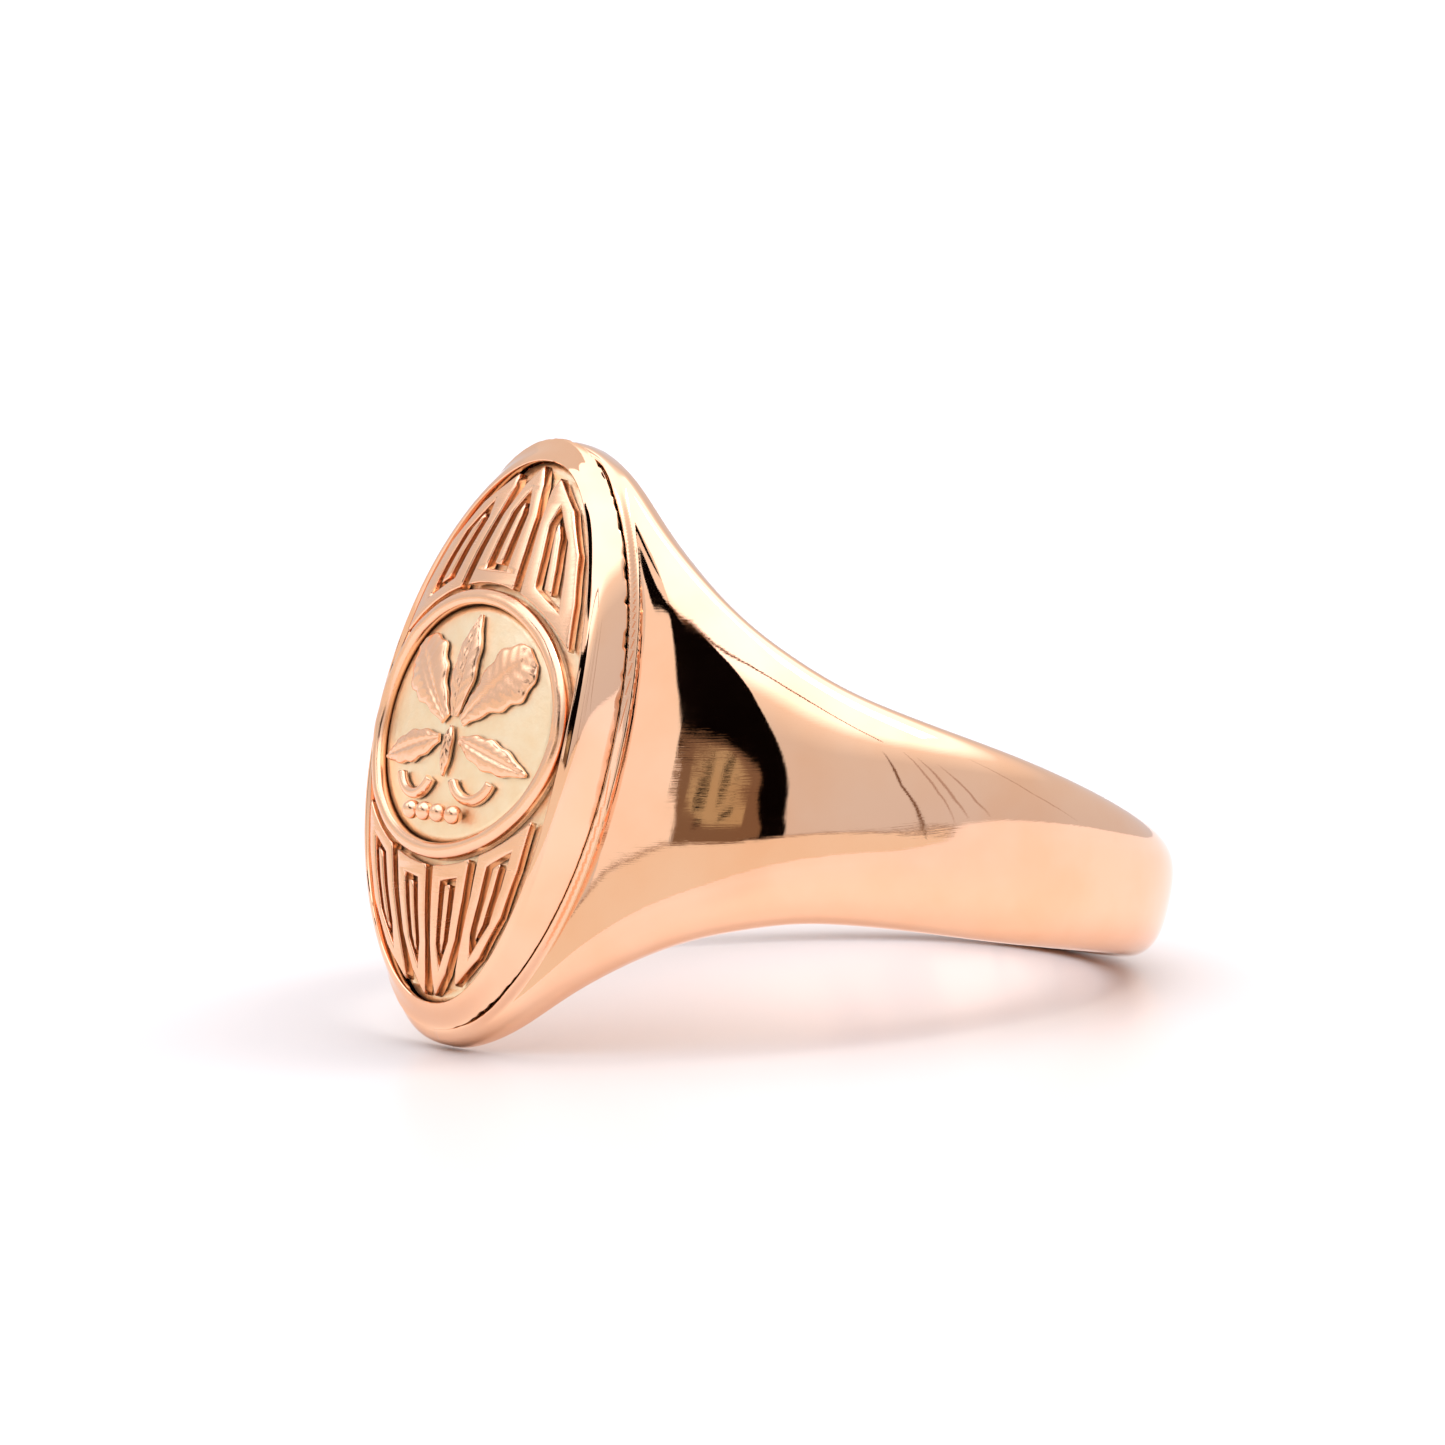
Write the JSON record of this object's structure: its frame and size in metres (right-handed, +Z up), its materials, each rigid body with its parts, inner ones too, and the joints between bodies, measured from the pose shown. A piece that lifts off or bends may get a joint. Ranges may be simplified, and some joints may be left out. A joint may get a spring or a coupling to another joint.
{
  "type": "signet ring",
  "caption": "Oval-headed signet ring in rose gold: domed face with a raised oval medallion and fluted fields on a matte sunk ground, flared shoulders and a tapering band.",
  "frame": {"origin": "centre of the bounding box on the table the ring lies on", "axes": "+Z up from the table; the face of the head looks towards -Y and leans back, the back of the band is at +Y; the finger hole runs along (0, 0.324, 0.946)"},
  "size_m": [0.021, 0.022, 0.0156],
  "materials": {
    "rose_gold": "polished rose gold, lightly worn",
    "matte_ground": "matte textured green-yellow gold",
    "solder": "dull pitted solder, slightly tarnished"
  },
  "bodies": {
    "root": {"front_joint": "solder", "shank_right": "rose_gold", "shank_left": "rose_gold", "sizing_joint_right": "solder", "sizing_joint_left": "solder", "sizing_piece": "rose_gold", "face_solder": "solder", "face_frame": "rose_gold", "ground_plate": "matte_ground", "medallion_rim": "rose_gold", "medallion_disc": "matte_ground", "leaf_centre": "rose_gold", "leaf_upper_left": "rose_gold", "leaf_upper_right": "rose_gold", "leaf_lower_left": "rose_gold", "leaf_lower_right": "rose_gold", "crest_stem": "rose_gold", "ribbon_left": "rose_gold", "ribbon_right": "rose_gold", "bead_1": "rose_gold", "bead_2": "rose_gold", "bead_3": "rose_gold", "bead_4": "rose_gold", "upper_arch_1": "rose_gold", "upper_reed_1": "rose_gold", "upper_arch_2": "rose_gold", "upper_reed_2": "rose_gold", "upper_arch_3": "rose_gold", "upper_reed_3": "rose_gold", "lower_arch_1": "rose_gold", "lower_reed_1": "rose_gold", "lower_arch_2": "rose_gold", "lower_reed_2": "rose_gold", "lower_arch_3": "rose_gold", "lower_reed_3": "rose_gold", "lower_arch_4": "rose_gold", "lower_reed_4": "rose_gold"}
  },
  "joints": []
}
